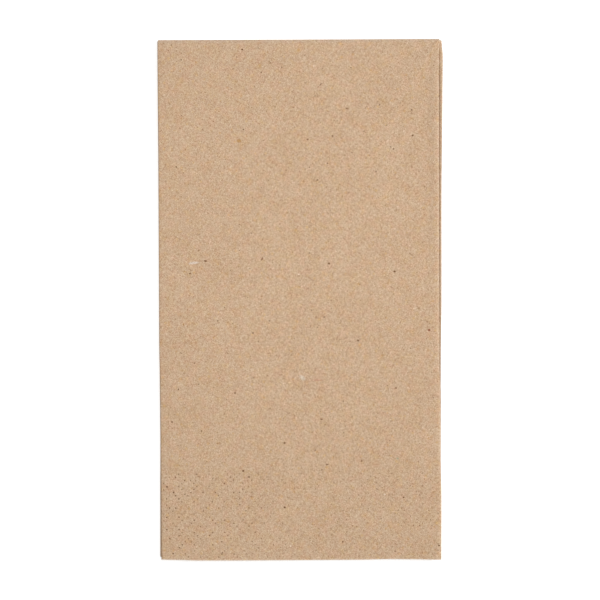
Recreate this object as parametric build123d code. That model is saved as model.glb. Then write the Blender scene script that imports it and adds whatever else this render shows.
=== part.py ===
from build123d import *
import os

os.makedirs("parts", exist_ok=True)

# Paper dinner napkin, folded to an eighth and lying flat.
# One sheet is folded in half along its length, in half again, and then in half across.
# X runs across the folded napkin, Y runs up to the cross fold, Z is up.
# Layers of each half are counted from the outer face: first, second, third, fourth.

# Flat sheet
sheet_width = 412.75
sheet_length = 381.0
sheet_thickness = 0.2

# Air left between neighbouring layers, at the cross fold and at the open end
fold_gap = 0.15
end_gap = 0.1

# Air left between the front half and the back half
fold_parting = 0.3
end_parting = 0.12

# The raw edges of the third layer pass the first fold by this much at the cross fold
edge_lead = 1.2
# The same raw edges fall back by this much on the way to the open end
edge_drift = 1.6
# The fourth layer wraps the long way round, so its raw edge stops short of the third
edge_step = 0.3

# The napkin's weight presses its underside flat by this much
underside_press = 0.01

# The front half runs in towards its open end, on the left and on the right
left_taper = 0.8
right_taper = 0.2
# The back half runs in on the right alone, and it ends short of the front half
back_taper = 0.5
back_shortfall = 0.85

panel_width = sheet_width / 4
panel_length = sheet_length / 2


def stack_height(gap):
    # Four layers with three gaps between them
    return 4 * sheet_thickness + 3 * gap


def hairpin(centre, radius, side, up):
    # Half circle that turns a run of paper back on itself, bulging to the given side
    x, z = centre
    return ThreePointArc((x, z - up * radius), (x + side * radius, z), (x, z + up * radius))


def section(y, left, right, lead, gap, base, up):
    # Outline of the strip where the plane across the folds cuts it at y.
    # The base is the inner face of the fourth layer, and up points to the outer face.
    pitch = sheet_thickness + gap
    height = stack_height(gap)
    nose = sheet_thickness + gap / 2

    def level(layers, gaps):
        return base + up * (layers * sheet_thickness + gaps * gap)

    turn_left = left + height / 2
    turn_right = right - nose
    middle = base + up * height / 2
    third_edge = right + lead
    fourth_edge = third_edge - edge_step
    first_turn = (turn_right, middle + up * pitch)
    second_turn = (turn_left, middle)

    outline = [
        Line((third_edge, level(1, 1)), (turn_left, level(1, 1))),
        hairpin(second_turn, nose, -1, up),
        Line((turn_left, level(3, 2)), (turn_right, level(3, 2))),
        hairpin(first_turn, gap / 2, 1, up),
        Line((turn_right, level(3, 3)), (turn_left, level(3, 3))),
        hairpin(second_turn, height / 2 - sheet_thickness, -1, up),
        Line((turn_left, level(1, 0)), (fourth_edge, level(1, 0))),
        Line((fourth_edge, level(1, 0)), (fourth_edge, level(0, 0))),
        Line((fourth_edge, level(0, 0)), (turn_left, level(0, 0))),
        hairpin(second_turn, height / 2, -1, up),
        Line((turn_left, level(4, 3)), (turn_right, level(4, 3))),
        hairpin(first_turn, nose, 1, up),
        Line((turn_right, level(2, 2)), (turn_left, level(2, 2))),
        hairpin(second_turn, gap / 2, -1, up),
        Line((turn_left, level(2, 1)), (third_edge, level(2, 1))),
        Line((third_edge, level(2, 1)), (third_edge, level(1, 1))),
    ]
    across = Plane(origin=(0, y, 0), x_dir=(1, 0, 0), z_dir=(0, -1, 0))
    return across * make_face(Wire(outline))


fold_height = stack_height(fold_gap)
end_height = stack_height(end_gap)
fold_radius = fold_parting / 2 + fold_height
fold_line = panel_length / 2 - fold_radius
front_end = -panel_length / 2
back_end = front_end + back_shortfall
left = -panel_width / 2
right = panel_width / 2
end_lead = edge_lead - edge_drift

front_at_fold = section(
    fold_line, left, right, edge_lead, fold_gap, fold_height + fold_parting, 1)
front_at_end = section(
    front_end, left + left_taper, right - right_taper, end_lead,
    end_gap, end_height + end_parting, 1)
back_at_fold = section(
    fold_line, left, right, edge_lead, fold_gap, fold_height, -1)
back_at_end = section(
    back_end, left, right - back_taper, end_lead, end_gap, end_height, -1)

front_half = loft([front_at_fold, front_at_end], ruled=True)
back_half = loft([back_at_fold, back_at_end], ruled=True)

# The cross fold carries all four layers round from the front half to the back half
fold_axis = Axis((0, fold_line, fold_radius), (-1, 0, 0))
cross_fold = revolve(front_at_fold, fold_axis, 180)

folded = front_half + cross_fold + back_half
resting = split(folded, bisect_by=Plane.XY.offset(underside_press), keep=Keep.TOP)

# The origin is the middle of the footprint, on the surface that the napkin lies on
box = resting.bounding_box()
napkin = Pos(-box.center().X, -box.center().Y, -box.min.Z) * resting

export_step(napkin, "parts/napkin.step")
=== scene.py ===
import math
import random

import bpy
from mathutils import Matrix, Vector, noise


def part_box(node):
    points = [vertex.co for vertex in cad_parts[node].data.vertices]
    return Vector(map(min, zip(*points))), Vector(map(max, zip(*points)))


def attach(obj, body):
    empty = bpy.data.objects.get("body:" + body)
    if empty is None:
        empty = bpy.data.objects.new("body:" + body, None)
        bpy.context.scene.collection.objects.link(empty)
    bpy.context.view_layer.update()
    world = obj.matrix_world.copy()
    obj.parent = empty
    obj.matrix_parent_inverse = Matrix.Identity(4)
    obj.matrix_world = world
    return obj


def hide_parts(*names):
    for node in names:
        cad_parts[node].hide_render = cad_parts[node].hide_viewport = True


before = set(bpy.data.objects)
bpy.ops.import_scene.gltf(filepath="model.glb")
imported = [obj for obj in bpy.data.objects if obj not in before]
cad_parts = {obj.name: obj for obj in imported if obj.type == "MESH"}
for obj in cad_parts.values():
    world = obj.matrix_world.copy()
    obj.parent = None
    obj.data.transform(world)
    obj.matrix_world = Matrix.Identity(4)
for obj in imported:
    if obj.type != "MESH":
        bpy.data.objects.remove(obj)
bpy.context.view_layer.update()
mm = 0.001

shot = {
    "lens": 120,
    "sensor": 36,
    "frameWidth": 600,           # pixels
    "napkinLength": 190.5 * mm,
    "lengthInPhoto": 520.2,      # pixels
    "middle": (301.38, 299.62),  # where the photo shows the napkin's middle
    "panelScale": 0.998,         # the front panel lies nearer the camera
    "turn": math.radians(-0.24),
    "clip": (0.01, 10),          # shares of the camera's distance
}
pixel = shot["napkinLength"] / shot["lengthInPhoto"]

# Kraft paper dinner napkin, folded to an eighth, seen from straight above.
# The sheet is cut flat, its border is pressed with dots, and then it is folded.

sheet = {
    "node": "napkin",
    "slot": "kraft_tissue",
    "body": "root",
    "width": 412.75 * mm,        # flat size
    "length": 381 * mm,
    "thickness": 0.2 * mm,
    "layers": 4,                 # in each half
    "endGap": 0.1 * mm,          # air between layers at the open end
    "foldParting": 0.3 * mm,     # air between the halves at the cross fold
    "endParting": 0.12 * mm,     # and at the open end
    "relax": 0.9,                # how far the layers part away from the cross fold
    "relaxGrain": 38 * mm,       # size of the soft swellings
    "relaxReach": 25 * mm,
    "relaxStep": 3.7,            # from one gap's swellings to the next
    "squeeze": 0.25,             # what the press leaves of the gaps at the cross fold
    "partingSqueeze": 0.5,       # and of the air between the halves
    "pinch": 0.3,                # what is left of the gap at the first fold
    "pinchReach": 0.9 * mm,
    "pinchStart": 3 * mm,        # from the cross fold
    "pinchStops": (0.25, 0.55, 0.75),
    "foldLift": 0.4 * mm,        # the first fold springs up off the third layer
    "liftReach": 5 * mm,
    # How much of the lift there is, at shares of the way to the open end
    "liftShares": ((0, 0), (0.04, 0.75), (0.1, 1), (0.3, 0.72), (0.45, 0.12), (0.58, 0)),
    "rawCurl": 0.35 * mm,        # and the raw edges beside it turn up
    "curlReach": 0.9 * mm,
    "curlStart": 6 * mm,         # from the cross fold
    "wideBulge": 0.32 * mm,      # the second fold is pressed flatter than it is high
    # How far it bulges, at shares of the way to the open end
    "bulgeShares": ((0, 1), (0.35, 0.85), (0.6, 1), (0.85, 1.1), (1, 1.35)),
    "edgeLead": 1.2 * mm,        # raw edges past the first fold
    "edgeStep": 0.3 * mm,
    "edgeWave": 0.1 * mm,
    "waveGrain": 20 * mm,
    "waveLevel": 5,              # slice of the noise that the wave follows
    "cornerReach": 6 * mm,       # from the cross fold, where the wave takes hold
    "backShortfall": 0.85 * mm,
    # How far each layer of the front half ends short of the first
    "endSteps": (0, 0.1 * mm, 0.18 * mm, 0.12 * mm),
    # How far in the open end bows, in millimetres, at shares of the way from left to right
    "endBow": ((0, 0.42), (0.05, 0.26), (0.14, 0), (0.25, -0.04), (0.7, 0.04), (0.8, 0.22),
               (0.88, 0.12), (1, -0.12)),
    "bowReach": 9 * mm,
    "leftSettle": 6 * mm,        # where a run takes up its own height beside a turn
    "rightSettle": 0.1 * mm,
    "slack": 1e-7,               # for rounding at the end of a part
    # Lines across a hidden layer: millimetres from its right end, then shares of its width
    "rightStops": (0, 0.25, 0.5, 0.75, 1, 1.25, 1.5, 1.8, 2.4, 3.6),
    "panelShares": (0.07, 0.14, 0.25, 0.4, 0.6, 0.75, 0.86, 0.93, 0.97, 0.99),
    "smallTurnCells": 8,
    "wideTurnCells": 14,
    "lengthCells": 36,
    "smoothAngle": math.radians(50),
    "seed": 7,
}

# How far each edge has drifted, in millimetres, at shares of the way to the open end
drift = {
    "frontLeft": ((0, -0.1), (0.25, 0.08), (0.58, 0.11), (0.67, 0.35), (0.76, 0.47), (1, 0.56)),
    "frontRight": ((0, 0), (0.006, -0.25), (0.02, -0.38), (0.1, -0.41), (0.25, -0.49),
                   (0.44, -0.61), (0.62, -0.64), (0.71, -0.26), (0.8, -0.26), (0.88, -0.04),
                   (1, -0.14)),
    "backLeft": ((0, -0.1), (0.25, 0.07), (0.6, 0.12), (0.78, 0.28), (0.86, 0.16), (1, 0.08)),
    "backRight": ((0, 0), (0.02, -0.3), (1, -0.4)),
    "rawLead": ((0, 0.7), (0.006, 1.34), (0.013, 1.48), (0.03, 1.5), (0.1, 1.36), (0.28, 0.86),
                (0.5, 0.7), (0.62, 0.36), (0.73, 0.15), (1, -0.4)),
}

border = {
    "reach": 32.5 * mm,          # height of the dotted band
    "cell": 10,                  # dot pitches from one diamond to the next
    "radius": 3,                 # dot pitches from a diamond's middle to its dots
    "pitch": (3.039 * pixel, 3.071 * pixel),
    "middle": (-47.4 * mm, 21.46 * mm),   # one diamond, from the centre line and the open end
    "dotWidth": 0.6 * mm,
    "floorWidth": 0.36 * mm,
    "depth": 0.1 * mm,
    "cornerShare": 0.29,         # of a dot's width, cut off at its corners
    "snap": 0.2,                 # how far off the dots' grid a cell may lie, in pitches
    "fullShare": 0.85,           # of a whole cell, the least that has room for a dot
    "outward": 0.9,              # least rise of a face that counts as facing out
    "drawSteps": (997, 31),      # each dot draws its own chance
    "weakest": 0.05,             # the rollers press unevenly
    # How hard, at shares of the way from left to right
    "pressShares": ((0, 0.95), (0.15, 0.8), (0.34, 0.64), (0.42, 0.44), (0.48, 0.38), (1, 0.5)),
}


def blendTo(a, b, share):
    return a + (b - a) * share


def easeIn(share):
    share = min(max(share, 0), 1)
    return share * share * (3 - 2 * share)


def readTable(points, share):
    for (start, a), (end, b) in zip(points, points[1:]):
        if share <= end:
            return blendTo(a, b, easeIn((share - start) / (end - start)))
    return points[-1][1]


def readDrift(edge, share):
    return readTable(drift[edge], share) * mm


# Place of the folded sheet, from the frame
low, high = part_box(sheet["node"])
thickness = sheet["thickness"]
foldRight = high.x - sheet["edgeLead"]
crestHeight = (high.z - low.z) / 2
halfAir = crestHeight - sheet["foldParting"] / 2 - sheet["layers"] * thickness
foldGap = halfAir / (sheet["layers"] - 1)
smallRadius = (thickness + foldGap) / 2
wideRadius = (sheet["layers"] - 1) * smallRadius


def crestReach(height):
    # How far past the fold line the cross fold carries a point of this height over its axis
    reach, level = 0, 0
    steps = [(sheet["foldParting"] / 2, sheet["partingSqueeze"])]
    steps += [(thickness, 1), (foldGap, sheet["squeeze"])] * sheet["layers"]
    for step, share in steps:
        reach += min(max(height - level, 0), step) * share
        level += step
    return reach


foldLine = high.y - crestReach(crestHeight)
openEnd = low.y
backEnd = openEnd + sheet["backShortfall"]
# Half of what the cross fold takes of the sheet's length
creaseHalf = math.pi / 2 * (sheet["foldParting"] / 2 + 2 * thickness)
halfLength = foldLine - openEnd


def airGap(gap, x, y, away):
    # Air over a layer, with the gaps counted from the table up
    size = blendTo(foldGap, sheet["endGap"], away / halfLength)
    grain = sheet["relaxGrain"]
    swell = 0.5 + noise.noise(Vector((x / grain, y / grain, sheet["relaxStep"] * gap)))
    size *= 1 + sheet["relax"] * max(swell, 0) * easeIn(away / sheet["relaxReach"])
    share = away / halfLength
    toFold = foldRight + readDrift("frontRight", share) - x
    if gap in (0, 6):
        # The first and second layers of a half meet at the first fold
        near = easeIn(away / sheet["pinchStart"]) * (1 - easeIn(toFold / sheet["pinchReach"]))
        size *= blendTo(1, sheet["pinch"], near)
    if gap == 5:
        near = 1 - easeIn(toFold / sheet["liftReach"])
        size += sheet["foldLift"] * near * readTable(sheet["liftShares"], share)
    return size


def layerHeights(half, x, y, away):
    # Middle of the first to the fourth layer of a half, counted from its outer face
    heights = [low.z + thickness / 2]
    for gap in range(3):
        heights.append(heights[-1] + thickness + airGap(gap, x, y, away))
    if half == "back":
        return heights
    parting = blendTo(sheet["foldParting"], sheet["endParting"], away / halfLength)
    heights = [heights[-1] + thickness + parting]
    for gap in range(4, 7):
        heights.append(heights[-1] + thickness + airGap(gap, x, y, away))
    return heights[::-1]


def sideEdges(half, away):
    # Second fold on the left, first fold on the right, and how far the raw edges pass it
    share = away / halfLength
    left = low.x + readDrift(half + "Left", share)
    right = foldRight + readDrift(half + "Right", share)
    return left, right, readDrift("rawLead", share)


def stripParts():
    # Runs and turns of the strip, from the raw edge of the third layer to that of the fourth
    left, right, lead = sideEdges("front", halfLength)
    run = right - left - wideRadius - smallRadius
    raw = run + lead
    small = math.pi * smallRadius
    wide = math.pi * math.hypot(wideRadius, sheet["wideBulge"]) / math.sqrt(2)
    lengths = [
        ("third", raw), ("innerTurn", small), ("second", run), ("firstTurn", small),
        ("first", run), ("outerTurn", wide), ("fourth", raw)]
    scale = sheet["width"] / sum(length for _, length in lengths)
    parts, start = [], -sheet["width"] / 2
    for name, length in lengths:
        parts.append((name, start, start + length * scale))
        start += length * scale
    return parts


strip = stripParts()


def stripSpan(part):
    return next((start, end) for name, start, end in strip if name == part)


def rawRise(x, away):
    # How far the raw edges of both halves turn up beside the first fold of the front half
    past = x - foldRight - readDrift("frontRight", away / halfLength)
    bend = math.sin(math.pi / 2 * min(max(past / sheet["curlReach"], 0), 1))
    return sheet["rawCurl"] * bend * easeIn(away / sheet["curlStart"])


def turnPoint(side, turn, bulge, start, end, share, offset):
    # Half an ellipse from one height to another, bulging to a side
    middle, rise = (start + end) / 2, (end - start) / 2
    angle = math.pi * (share - 0.5)
    out = Vector((side * abs(rise) * math.cos(angle),
                  bulge * math.copysign(math.sin(angle), rise * math.sin(angle))))
    out = out.normalized() * offset
    x = turn + side * bulge * math.cos(angle)
    return x + out.x, middle + rise * math.sin(angle) + out.y


def sectionPoint(part, share, offset, half, y, away):
    # Place across the napkin of a point of the strip, offset to its outer face
    left, right, lead = sideEdges(half, away)
    atLeft = layerHeights(half, left, y, away)
    atRight = layerHeights(half, right, y, away)
    smallBulge = abs(atRight[0] - atRight[1]) / 2
    innerBulge = abs(atLeft[1] - atLeft[2]) / 2
    wideBulge = sheet["wideBulge"] * readTable(sheet["bulgeShares"], away / halfLength)
    turnLeft = left + wideBulge + thickness / 2
    turnRight = right - smallBulge - thickness / 2
    innerLeft = turnLeft - wideBulge + thickness + innerBulge + sheet["endGap"] / 2
    facing = 1 if half == "front" else -1
    if part == "innerTurn":
        return turnPoint(-1, innerLeft, innerBulge, atLeft[2], atLeft[1], share, -offset)
    if part == "firstTurn":
        return turnPoint(1, turnRight, smallBulge, atRight[1], atRight[0], share, offset)
    if part == "outerTurn":
        return turnPoint(-1, turnLeft, wideBulge, atLeft[0], atLeft[3], share, offset)
    place = Vector((y / sheet["waveGrain"], facing, sheet["waveLevel"]))
    wave = sheet["edgeWave"] * noise.noise(place)
    thirdEdge = right + lead + wave * easeIn(away / sheet["cornerReach"])
    ends = {
        "third": (thirdEdge, innerLeft, 2, 1),
        "second": (innerLeft, turnRight, 1, -1),
        "first": (turnRight, turnLeft, 0, 1),
        "fourth": (turnLeft, thirdEdge - sheet["edgeStep"], 3, -1),
    }
    start, end, layer, outward = ends[part]
    x = blendTo(start, end, share)
    # Near a turn the run keeps the height that the turn was given
    within = min(max(x, turnLeft), turnRight)
    if within == turnLeft:
        height = atLeft[layer]
    elif within == turnRight:
        height = atRight[layer]
    else:
        height = layerHeights(half, within, y, away)[layer]
        toLeft = easeIn((within - turnLeft) / sheet["leftSettle"])
        toRight = easeIn((turnRight - within) / sheet["rightSettle"])
        height = blendTo(atLeft[layer], height, toLeft)
        height = blendTo(atRight[layer], height, toRight)
    if layer > 1:
        height += rawRise(x, away)
    return x, height + facing * outward * offset


def stripPlace(along):
    # Part of the strip, and the share of the way through it
    for name, start, end in strip:
        if along <= end + sheet["slack"]:
            return name, (along - start) / (end - start)


def creasePoint(part, share, offset):
    # Where the cross fold starts at the front half, and its height over the fold's axis
    x, z = sectionPoint(part, share, offset, "front", foldLine, 0)
    return x, z, z - (low.z + high.z) / 2


def foldPoint(point):
    # Carries a point of the flat sheet to where it lies once the sheet is folded
    along, across, offset = point
    part, share = stripPlace(along)
    if abs(across) <= creaseHalf:
        angle = math.pi / 2 * (1 - across / creaseHalf)
        x, z, rise = creasePoint(part, share, offset)
        return x, foldLine + crestReach(rise) * math.sin(angle), z + rise * (math.cos(angle) - 1)
    half = "front" if across > 0 else "back"
    progress = (abs(across) - creaseHalf) / (sheet["length"] / 2 - creaseHalf)
    layer = {"first": 0, "second": 1, "third": 2, "fourth": 3}.get(part, 0)
    step = sheet["endSteps"][layer] if half == "front" else 0
    end = (openEnd if half == "front" else backEnd) + step * easeIn(progress)
    y = blendTo(foldLine, end, progress)
    x, z = sectionPoint(part, share, offset, half, y, foldLine - y)
    bow = readTable(sheet["endBow"], (x - low.x) / (high.x - low.x)) * mm
    return x, y + bow * (1 - easeIn((y - openEnd) / sheet["bowReach"])), z


def panelEnds(away):
    # Where the flat of the front panel meets the turns at its sides
    left, right, _ = sideEdges("front", away)
    left += sheet["wideBulge"] + thickness / 2
    right -= smallRadius + thickness / 2
    return left, right


def flatPlace(x, y):
    # Where a point of the front panel lies on the flat sheet
    away = foldLine - y
    left, right = panelEnds(away)
    start, end = stripSpan("first")
    along = blendTo(start, end, (right - x) / (right - left))
    return along, blendTo(creaseHalf, sheet["length"] / 2, away / halfLength)


def evenStops(start, end, count):
    return [blendTo(start, end, k / count) for k in range(count)]


def gridStops(start, end, middle, pitch):
    # Lines half a pitch either side of each dot, between two ends
    first = math.ceil((start - middle) / pitch - 0.5) + 0.5
    stops = []
    while middle + first * pitch < end:
        stops.append(middle + first * pitch)
        first += 1
    return stops


def columnStops():
    left, right = panelEnds(halfLength)
    cells = {
        "innerTurn": sheet["smallTurnCells"], "firstTurn": sheet["smallTurnCells"],
        "outerTurn": sheet["wideTurnCells"]}
    stops = []
    for name, start, end in strip:
        if name in ("third", "second", "fourth"):
            # The third layer starts at its right end, and the other two finish there
            shares = [stop * mm / (end - start) for stop in sheet["rightStops"]]
            shares += sheet["panelShares"]
            if name != "third":
                shares = [0] + [1 - share for share in reversed(shares)][:-1]
            stops += [blendTo(start, end, share) for share in shares]
            continue
        if name == "first":
            dots = gridStops(left, right, border["middle"][0], border["pitch"][0])
            *inner, outer = [right - stop * sheet["pinchReach"] for stop in sheet["pinchStops"]]
            places = sorted([x for x in dots if x < outer] + inner)
            shares = [0] + [(right - x) / (right - left) for x in reversed(places)]
            stops += [blendTo(start, end, share) for share in shares]
        else:
            stops += evenStops(start, end, cells[name])
    return stops + [strip[-1][2]]


def rowStops():
    # From the open end of the back half to that of the front half
    top = border["reach"]
    dots = gridStops(0, top, border["middle"][1], border["pitch"][1])
    scale = (sheet["length"] / 2 - creaseHalf) / halfLength
    flat = [sheet["length"] / 2] + [sheet["length"] / 2 - rise * scale for rise in dots]
    flat += evenStops(flat[-1], creaseHalf, sheet["lengthCells"])[1:] + [creaseHalf]
    crease = evenStops(creaseHalf, -creaseHalf, sheet["wideTurnCells"])[1:]
    return [-v for v in flat] + crease[::-1] + flat[::-1]


def dotStrength(x, y):
    # How hard the border's rollers pressed at one dot, or nothing where there is none
    step = (x - border["middle"][0]) / border["pitch"][0]
    rise = (y - openEnd - border["middle"][1]) / border["pitch"][1]
    i, j = round(step), round(rise)
    offGrid = max(abs(step - i), abs(rise - j)) > border["snap"]
    if offGrid or y > openEnd + border["reach"]:
        return 0
    for shift in (0, border["cell"] // 2):
        a = (i - shift + border["cell"] // 2) % border["cell"] - border["cell"] // 2
        b = (j - shift + border["cell"] // 2) % border["cell"] - border["cell"] // 2
        if abs(a) + abs(b) == border["radius"]:
            stepI, stepJ = border["drawSteps"]
            chance = random.Random(i * stepI + j * stepJ + sheet["seed"]).random()
            press = readTable(border["pressShares"], (x - low.x) / (high.x - low.x))
            return press * blendTo(border["weakest"], 1, chance)
    return 0


def pickPiece(piece):
    bpy.ops.object.select_all(action="DESELECT")
    piece.select_set(True)
    bpy.context.view_layer.objects.active = piece


def clearFaces(piece):
    # Leaves the piece in face mode with nothing selected
    pickPiece(piece)
    bpy.ops.object.mode_set(mode="EDIT")
    bpy.ops.mesh.select_mode(type="FACE")
    bpy.ops.mesh.select_all(action="DESELECT")
    bpy.ops.object.mode_set(mode="OBJECT")


def cutFlatSheet():
    columns, rows = columnStops(), rowStops()
    bpy.ops.object.select_all(action="DESELECT")
    bpy.ops.mesh.primitive_grid_add(
        x_subdivisions=len(columns) - 1, y_subdivisions=len(rows) - 1, size=2)
    piece = bpy.context.active_object
    piece.name = "folded_sheet"
    for vertex in piece.data.vertices:
        i = round((vertex.co.x + 1) / 2 * (len(columns) - 1))
        j = round((vertex.co.y + 1) / 2 * (len(rows) - 1))
        vertex.co = (columns[i], rows[j], 0)
    body = piece.modifiers.new("body", "SOLIDIFY")
    body.thickness = thickness
    body.offset = 0
    bpy.ops.object.modifier_apply(modifier=body.name)
    print("flat sheet:", len(columns) - 1, "by", len(rows) - 1, "cells")
    return piece


def frontPlace(face):
    # Both ends of the sheet have the same border, so a face at either is looked up at the front
    along, across, offset = face.center
    x, y, _ = foldPoint((along, abs(across), offset))
    return x, y


def pressBorder(piece):
    # Dots are pressed into the outer face of the first layer, at both ends of the sheet
    clearFaces(piece)
    start, end = stripSpan("first")
    bandStart = sheet["length"] / 2 - border["reach"] - border["pitch"][1]
    fullCell = border["pitch"][0] * border["pitch"][1]
    dots = 0
    for face in piece.data.polygons:
        inBand = start < face.center.x < end and abs(face.center.y) > bandStart
        # The narrow cells along an edge have no room for a dot
        roomy = face.area >= border["fullShare"] * fullCell
        if not inBand or not roomy or face.normal.z < border["outward"]:
            continue
        if dotStrength(*frontPlace(face)):
            face.select = True
            dots += 1
    bpy.ops.object.mode_set(mode="EDIT")
    rim = (min(border["pitch"]) - border["dotWidth"]) / 2
    bpy.ops.mesh.inset(thickness=rim, use_individual=True)
    bpy.ops.mesh.select_mode(type="VERT")
    cut = border["dotWidth"] * border["cornerShare"]
    bpy.ops.mesh.bevel(offset=cut, segments=1, affect="VERTICES")
    bpy.ops.object.mode_set(mode="OBJECT")
    clearFaces(piece)
    for face in piece.data.polygons:
        face.select = len(face.vertices) == 8 and face.normal.z > border["outward"]
    bpy.ops.object.mode_set(mode="EDIT")
    wall = (border["dotWidth"] - border["floorWidth"]) / 2
    bpy.ops.mesh.inset(thickness=wall, use_individual=True)
    bpy.ops.object.mode_set(mode="OBJECT")
    mesh = piece.data
    # Each dot's strength is kept for the material, which darkens the dots with it: partly denser
    # paper, partly painted shade
    press = mesh.attributes.new("pressed", "FLOAT", "POINT")
    for face in mesh.polygons:
        if face.select:
            strength = dotStrength(*frontPlace(face))
            for index in face.vertices:
                mesh.vertices[index].co.z -= border["depth"] * strength
                press.data[index].value = strength
    print("border:", dots, "dots")


def grainAway(point):
    # Distance of the grain from the middle of the cross fold. The outer layers run a longer
    # way round it, so there the grain keeps to the length of each layer.
    along, across, offset = point
    away = abs(across)
    if away >= creaseHalf:
        return away
    rise = creasePoint(*stripPlace(along), offset)[2]
    arc = math.pi / 2 * math.hypot(rise, crestReach(rise)) / math.sqrt(2)
    return creaseHalf - arc * (1 - away / creaseHalf)


def layOutSheet(piece):
    # The flat place of each corner stays on the mesh, and so does its place in the grain
    mesh = piece.data
    while mesh.uv_layers:
        mesh.uv_layers.remove(mesh.uv_layers[0])
    for name in ("flat", "grain"):
        mesh.uv_layers.new(name=name)
    flat, grain = mesh.uv_layers["flat"].data, mesh.uv_layers["grain"].data
    away = [grainAway(vertex.co) for vertex in mesh.vertices]
    for face in mesh.polygons:
        side = math.copysign(1, face.center.y)
        for corner, index in zip(face.loop_indices, face.vertices):
            place = mesh.vertices[index].co
            flat[corner].uv = (place.x, place.y)
            grain[corner].uv = (place.x, side * away[index])


def foldSheet(piece):
    for vertex in piece.data.vertices:
        vertex.co = foldPoint(vertex.co)
    piece.data.update()
    pickPiece(piece)
    bpy.ops.object.shade_smooth_by_angle(angle=sheet["smoothAngle"])
    piece.data.calc_loop_triangles()
    print("folded:", len(piece.data.loop_triangles), "triangles")


paper = {
    "color": (0.59, 0.415, 0.275),
    "swing": (0.45, 0.65, 0.735),    # pale and dark grain differ most in blue
    "roughness": 0.92,
    "specular": 0.2,
    "turn": math.radians(31),    # of the pattern on the flat sheet
    # Grain: size in millimetres, detail, contrast, share of the relief
    "grain": {
        "fibre": (0.42, 2, 0.8, 1),
        "pulp": (0.95, 2, 0.44, 0.8),
        "cloud": (3.6, 2, 0.15, 0),
        "roll": (17, 2, 0.07, 0),
    },
    # Patches of another tint: size in millimetres, the noise's levels where a patch starts
    # and is whole, colour
    "tints": {
        "rosy": (3.4, 0.42, 0.7, (1.035, 0.985, 0.98)),
        "straw": (2.4, 0.54, 0.78, (1, 0.975, 0.88)),
        "tan": (5.5, 0.44, 0.64, (0.99, 0.975, 0.93)),
    },
    "tintDetail": 2,
    # Specks: cell in millimetres, share of the cells, widest radius, colour
    "specks": {
        "grit": (0.9, 0.18, 0.16, (0.62, 0.55, 0.46)),
        "bark": (1.9, 0.42, 0.21, (0.55, 0.45, 0.3)),
        "chip": (5.5, 0.16, 0.32, (0.3, 0.24, 0.165)),
        "husk": (3, 0.18, 0.7, (1, 0.94, 0.79)),
        # Pale specks: partly lint, partly painted glints
        "lintAndGlint": (1.3, 0.14, 0.18, (1.24, 1.3, 1.4)),
    },
    # Loose fibres: size of their curls in millimetres, half width, place, colour
    "strands": {
        "dark": (2.6, 0.014, (3, 8, 0), (0.72, 0.66, 0.58)),
        "pale": (3.1, 0.016, (-6, 2, 0), (1.16, 1.2, 1.27)),
    },
    # Specks get ragged outlines: size of the noise in millimetres, detail, how far it moves them
    "ragged": (0.35, 1, (0.35, 0.35, 0)),
    "speckSizes": (0.4, 0.6),    # shares of the widest radius: the least, and what is drawn by lot
    "speckEdge": (1, 0.5),       # shares of a speck's size where it starts and is whole
    # Pieces of strands: size in millimetres, the noise's levels where one starts and is whole
    "pieces": (1.1, 0.6, 0.7),
    "fleckGain": 2,              # a fleck is at full strength half way out
    "relief": 0.05 * mm,
    "creaseReach": 0.6 * mm,
    # Paler folds: partly pale broken fibres, partly a painted highlight where light catches them
    "creaseFibreAndHighlightColor": (0.98, 1.02, 1.08),
    "rawReach": 0.7 * mm,
    # Paler raw edges: partly pale cut fibres, partly a painted highlight
    "rawFibreAndHighlightColor": (1.13, 1.21, 1.3),
    # Darker pressed dots: partly denser paper, partly painted shade in the dents
    "pressedAndShadeColor": (0.22, 0.13, 0.02),
}

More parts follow.
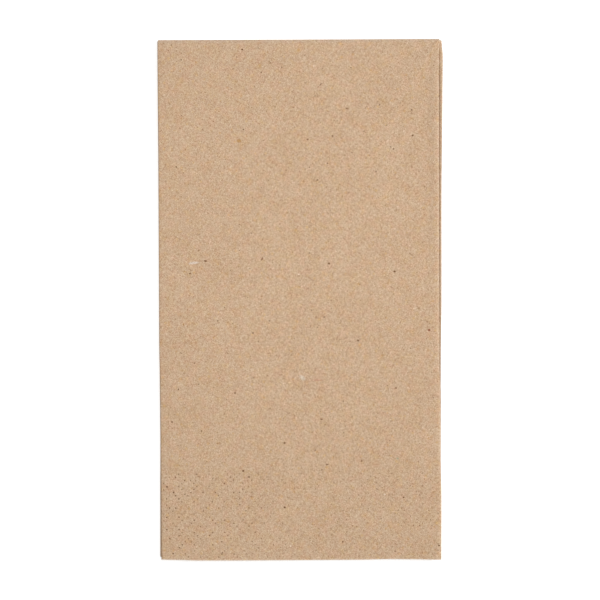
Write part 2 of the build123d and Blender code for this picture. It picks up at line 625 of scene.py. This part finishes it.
# Flecks that stand out. Their places are read from the photo, in pixels from its top left corner.
# Then come half length and half width, in pixels, and tilt in degrees.
flecks = {
    "dark": ((0.27, 0.18, 0.09), (
        (205.5, 261, 2.2, 0.9, -8), (262, 259, 2.6, 0.55, 68), (346.5, 108.5, 0.95, 0.75, 0),
        (332.5, 136, 1.1, 1, 0), (412.5, 135.5, 1.3, 1.1, 0), (307.5, 139.5, 1, 0.9, 0),
        (393.5, 149, 1, 0.9, 0), (242, 49.5, 1.3, 1.1, 0), (236.5, 57, 0.75, 0.55, 0),
        (233, 69, 0.75, 0.65, 0), (270, 63, 0.7, 0.6, 0), (320.5, 84.5, 2.4, 0.5, 55),
        (190, 273.5, 1.1, 1, 0), (358, 340.5, 1.4, 1.15, 0), (321.5, 419.5, 1.7, 0.7, 0),
        (201.5, 431, 1.1, 0.9, 0), (284.5, 443, 1.4, 1.2, 0), (361.5, 461, 0.95, 0.8, 0),
        (327, 464.5, 2, 0.55, 0), (243, 471, 1.4, 1.15, 0), (249, 477, 1.1, 1, 0),
        (167, 487, 1.1, 0.95, 0), (173.5, 492.5, 0.95, 1.2, 0), (403.5, 497.5, 1.05, 0.9, 0),
        (284.5, 507.5, 1.3, 1.1, 0), (342.5, 542, 0.95, 0.85, 0), (439, 545.5, 1.2, 1, 0),
        (394.5, 271.5, 1.5, 1.3, 0), (329, 263.5, 1.5, 1.3, 0), (235, 393, 1.2, 1, 0),
        (172, 422, 1.2, 1, 0), (317.5, 180, 1.1, 0.9, 0), (253, 333, 1.1, 0.9, 0),
        (396, 388, 1, 0.9, 0), (176.5, 167, 1, 0.9, 0))),
    "red": ((0.42, 0.19, 0.12), ((429, 330, 1.6, 1.3, 0),)),
    "rosy": ((0.96, 0.84, 0.85), ((317, 380, 8, 1.1, 0),)),
    "pale": ((1.4, 1.6, 1.85), (
        (299, 274.5, 1, 0.75, 0), (407.5, 387.5, 1, 0.8, 0),
        (290.5, 546, 0.95, 0.7, 0), (384.5, 494.5, 1.3, 1, 0), (313.5, 66, 1, 0.8, 0))),
    "milky": ((1.08, 1.24, 1.42), ((302, 377.5, 4.8, 2.8, -35),)),
    "white": ((1.22, 1.5, 1.95), ((193.5, 263, 6.8, 1.6, 5),)),
    "yellow": ((0.82, 0.68, 0.46), ((239, 141, 3, 2.1, 0),)),
    "green": ((0.72, 0.95, 0.95), ((397.5, 458.5, 1.6, 1.2, 0),)),
}


def photoPlace(x, y):
    # Place on the napkin's front panel of a point of the photo
    aside, down = x - shot["middle"][0], y - shot["middle"][1]
    cos, sin = math.cos(shot["turn"]), math.sin(shot["turn"])
    size = pixel * shot["panelScale"]
    return (aside * cos + down * sin) * size, (aside * sin - down * cos) * size


class NodeBench:
    # Adds nodes to one material and wires them up
    def __init__(self, name):
        self.material = bpy.data.materials.new(name)
        self.material.use_nodes = True
        self.tree = self.material.node_tree
        self.shader = self.tree.nodes["Principled BSDF"]

    def add(self, kind, **settings):
        made = self.tree.nodes.new("ShaderNode" + kind)
        for name, value in settings.items():
            setattr(made, name, value)
        return made

    def feed(self, socket, value):
        if isinstance(value, bpy.types.NodeSocket):
            self.tree.links.new(value, socket)
        else:
            socket.default_value = value

    def math(self, operation, *values):
        made = self.add("Math", operation=operation)
        for socket, value in zip(made.inputs, values):
            self.feed(socket, value)
        return made.outputs[0]

    def ramp(self, value, start, end):
        # Runs smoothly from 0 at the start to 1 at the end
        made = self.add("MapRange", interpolation_type="SMOOTHSTEP")
        self.feed(made.inputs["Value"], value)
        made.inputs["From Min"].default_value = start
        made.inputs["From Max"].default_value = end
        return made.outputs["Result"]

    def tint(self, amount, under, color):
        # Multiplies a colour by another, by an amount
        made = self.add("Mix", data_type="RGBA", blend_type="MULTIPLY")
        self.feed(made.inputs[0], amount)
        self.feed(made.inputs[6], under)
        self.feed(made.inputs[7], (*color, 1))
        return made.outputs[2]

    def noise(self, place, size, detail):
        made = self.add("TexNoise", noise_dimensions="2D")
        self.feed(made.inputs["Vector"], place)
        made.inputs["Scale"].default_value = 1 / size
        made.inputs["Detail"].default_value = detail
        return made


def paperGrain(bench, place):
    # Colour and relief of the pulp
    grain = paper["grain"]
    level = 0.5 - sum(contrast for _, _, contrast, _ in grain.values()) / 2
    relief = 0
    for size, detail, contrast, share in grain.values():
        pattern = bench.noise(place, size, detail).outputs[0]
        level = bench.math("MULTIPLY_ADD", pattern, contrast, level)
        if share:
            relief = bench.math("MULTIPLY_ADD", pattern, share, relief)
    color = bench.add("Mix", data_type="RGBA", clamp_factor=False)
    bench.feed(color.inputs[0], level)
    for socket, side in ((color.inputs[6], -1), (color.inputs[7], 1)):
        swung = [c * (1 + side * swing) for c, swing in zip(paper["color"], paper["swing"])]
        socket.default_value = (*swung, 1)
    return color.outputs[2], relief


def paperSpecks(bench, place, color):
    # Uneven specks: each cell of a pattern has one or none
    grain, detail, sway = paper["ragged"]
    spread = bench.add("VectorMath", operation="MULTIPLY_ADD")
    bench.feed(spread.inputs[0], bench.noise(place, grain, detail).outputs["Color"])
    spread.inputs[1].default_value = sway
    bench.feed(spread.inputs[2], place)
    for cell, taking, radius, tone in paper["specks"].values():
        cells = bench.add("TexVoronoi", voronoi_dimensions="2D", feature="F1")
        bench.feed(cells.inputs["Vector"], spread.outputs[0])
        cells.inputs["Scale"].default_value = 1 / cell
        parts = bench.add("SeparateColor")
        bench.feed(parts.inputs[0], cells.outputs["Color"])
        taken = bench.math("LESS_THAN", parts.outputs[0], taking)
        least, drawn = [radius / cell * share for share in paper["speckSizes"]]
        size = bench.math("MULTIPLY_ADD", parts.outputs[1], drawn, least)
        inside = bench.math("DIVIDE", cells.outputs["Distance"], size)
        mask = bench.math("MULTIPLY", bench.ramp(inside, *paper["speckEdge"]), taken)
        color = bench.tint(mask, color, tone)
    return color


def paperStrands(bench, place, color):
    # A strand follows a level of a soft noise, and a second noise cuts it into pieces
    grain, start, whole = paper["pieces"]
    for size, width, away, tone in paper["strands"].values():
        moved = bench.add("VectorMath", operation="ADD")
        bench.feed(moved.inputs[0], place)
        moved.inputs[1].default_value = away
        off = bench.math("ABSOLUTE", bench.math(
            "SUBTRACT", bench.noise(moved.outputs[0], size, 1).outputs[0], 0.5))
        piece = bench.ramp(bench.noise(moved.outputs[0], grain, 0).outputs[0], start, whole)
        mask = bench.math("MULTIPLY", bench.ramp(off, width, width / 3), piece)
        color = bench.tint(mask, color, tone)
    return color


def paperFlecks(bench, flat, color):
    for tone, rows in flecks.values():
        for x, y, length, width, tilt in rows:
            spread = bench.add("Mapping", vector_type="TEXTURE")
            bench.feed(spread.inputs["Vector"], flat)
            spread.inputs["Location"].default_value = (*flatPlace(*photoPlace(x, y)), 0)
            spread.inputs["Rotation"].default_value = (0, 0, math.radians(tilt))
            spread.inputs["Scale"].default_value = (length * pixel, width * pixel, 1)
            spot = bench.add("TexGradient", gradient_type="SPHERICAL")
            bench.feed(spot.inputs["Vector"], spread.outputs[0])
            amount = bench.math("MULTIPLY", spot.outputs[1], paper["fleckGain"])
            color = bench.tint(amount, color, tone)
    return color


def paperEdges(bench, flat, color):
    # Paler along the first fold and the cross fold, and at the raw edges: partly pale broken fibres,
    # partly a painted highlight where light catches the folds and edges
    parts = bench.add("SeparateXYZ")
    bench.feed(parts.inputs[0], flat)
    along, across = parts.outputs[0], parts.outputs[1]
    start, end = stripSpan("firstTurn")
    for value, middle, half in (
            (along, (start + end) / 2, (end - start) / 2), (across, 0, creaseHalf)):
        away = bench.math("ABSOLUTE", bench.math("SUBTRACT", value, middle))
        # Painted highlight along the folds, together with pale broken fibres
        color = bench.tint(
            bench.ramp(away, half + paper["creaseReach"], half), color, paper["creaseFibreAndHighlightColor"])
    for value, edge in ((along, sheet["width"] / 2), (across, sheet["length"] / 2)):
        out = bench.math("ABSOLUTE", value)
        # Painted highlight at the raw edges, together with pale cut fibres
        color = bench.tint(bench.ramp(out, edge - paper["rawReach"], edge), color, paper["rawFibreAndHighlightColor"])
    return color


def kraftPaper():
    bench = NodeBench("kraftPaper")
    flat = bench.add("UVMap", uv_map="flat").outputs[0]
    scale = bench.add("Mapping")
    bench.feed(scale.inputs["Vector"], bench.add("UVMap", uv_map="grain").outputs[0])
    scale.inputs["Scale"].default_value = (1 / mm, 1 / mm, 1)
    scale.inputs["Rotation"].default_value = (0, 0, paper["turn"])
    place = scale.outputs[0]      # in millimetres on the flat sheet
    color, relief = paperGrain(bench, place)
    for size, start, whole, tone in paper["tints"].values():
        patch = bench.noise(place, size, paper["tintDetail"]).outputs[0]
        color = bench.tint(bench.ramp(patch, start, whole), color, tone)
    color = paperSpecks(bench, place, color)
    color = paperStrands(bench, place, color)
    color = paperFlecks(bench, flat, color)
    color = paperEdges(bench, flat, color)
    # The dots darken by how hard they were pressed: partly denser paper, partly painted shade in the
    # dents
    pressed = bench.add("Attribute", attribute_name="pressed").outputs["Fac"]
    color = bench.tint(pressed, color, paper["pressedAndShadeColor"])
    bench.feed(bench.shader.inputs["Base Color"], color)
    bump = bench.add("Bump")
    bump.inputs["Distance"].default_value = paper["relief"]
    bench.feed(bump.inputs["Height"], relief)
    bench.feed(bench.shader.inputs["Normal"], bump.outputs[0])
    bench.shader.inputs["Roughness"].default_value = paper["roughness"]
    bench.shader.inputs["Specular IOR Level"].default_value = paper["specular"]
    print("paper:", len(bench.tree.nodes), "nodes")
    return bench.material


napkin = cutFlatSheet()
pressBorder(napkin)
layOutSheet(napkin)
foldSheet(napkin)
napkin.data.materials.append(kraftPaper())
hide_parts(sheet["node"])
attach(napkin, sheet["body"])


stageSet = {
    "floorSize": 3.0,
    "floorDrop": 0.05 * mm,
    "floorColor": (0.9, 0.9, 0.9),
    "floorGlow": 0.58,
    "floorRoughness": 0.9,
    "worldLight": 0.44,
}


def buildFloor():
    bpy.ops.object.select_all(action="DESELECT")
    bpy.ops.mesh.primitive_plane_add(
        size=stageSet["floorSize"], location=(0, 0, low.z - stageSet["floorDrop"]))
    floor = bpy.context.active_object
    floor.name = "floor"
    material = bpy.data.materials.new("whiteTable")
    material.use_nodes = True
    nodes, links = material.node_tree.nodes, material.node_tree.links
    shader = nodes["Principled BSDF"]
    shader.inputs["Base Color"].default_value = (*stageSet["floorColor"], 1)
    shader.inputs["Roughness"].default_value = stageSet["floorRoughness"]
    shader.inputs["Specular IOR Level"].default_value = 0
    shader.inputs["Emission Color"].default_value = (1, 1, 1, 1)
    path = nodes.new("ShaderNodeLightPath")
    seen = nodes.new("ShaderNodeMath")
    seen.operation = "MAXIMUM"
    glow = nodes.new("ShaderNodeMath")
    glow.operation = "MULTIPLY"
    glow.inputs[1].default_value = stageSet["floorGlow"]
    links.new(path.outputs["Is Camera Ray"], seen.inputs[0])
    links.new(path.outputs["Is Glossy Ray"], seen.inputs[1])
    links.new(seen.outputs[0], glow.inputs[0])
    links.new(glow.outputs[0], shader.inputs["Emission Strength"])
    floor.data.materials.append(material)


def buildWorld():
    world = bpy.data.worlds.new("studio")
    bpy.context.scene.world = world
    world.use_nodes = True
    nodes, links = world.node_tree.nodes, world.node_tree.links
    back = nodes["Background"]
    back.inputs["Color"].default_value = (1, 1, 1, 1)
    path = nodes.new("ShaderNodeLightPath")
    seen = nodes.new("ShaderNodeMapRange")
    seen.inputs["To Min"].default_value = stageSet["worldLight"]
    seen.inputs["To Max"].default_value = 1
    links.new(path.outputs["Is Camera Ray"], seen.inputs["Value"])
    links.new(seen.outputs[0], back.inputs["Strength"])


# Soft lamps aimed at the napkin, each with its share of the light that falls on it
lamps = {
    "overhead": {"place": (-0.008, 0.03, 0.22), "size": 0.13, "share": 0.18},
    "window": {"place": (1.7, 0.5, 1.35), "size": 0.8, "share": 0.43},
}


def buildLamps():
    for name, lamp in lamps.items():
        place = Vector(lamp["place"])
        data = bpy.data.lights.new(name, "AREA")
        data.size = lamp["size"]
        data.energy = math.pi ** 2 * lamp["share"] * place.length ** 3 / place.z
        light = bpy.data.objects.new(name, data)
        bpy.context.scene.collection.objects.link(light)
        light.location = place
        light.rotation_euler = (-place).to_track_quat("-Z", "Y").to_euler()
        light.visible_camera = False


def buildCamera():
    data = bpy.data.cameras.new("camera")
    data.lens = shot["lens"]
    data.sensor_width = shot["sensor"]
    camera = bpy.data.objects.new("camera", data)
    bpy.context.scene.collection.objects.link(camera)
    spread = shot["frameWidth"] * pixel
    distance = spread * data.lens / data.sensor_width
    aside = (shot["frameWidth"] / 2 - shot["middle"][0]) * pixel
    along = (shot["middle"][1] - shot["frameWidth"] / 2) * pixel
    camera.location = (aside, along, (low.z + high.z) / 2 + distance)
    camera.rotation_euler = (0, 0, shot["turn"])
    data.clip_start, data.clip_end = [distance * share for share in shot["clip"]]
    bpy.context.scene.camera = camera


buildFloor()
buildWorld()
buildLamps()
buildCamera()
bpy.context.scene.view_settings.view_transform = "Standard"
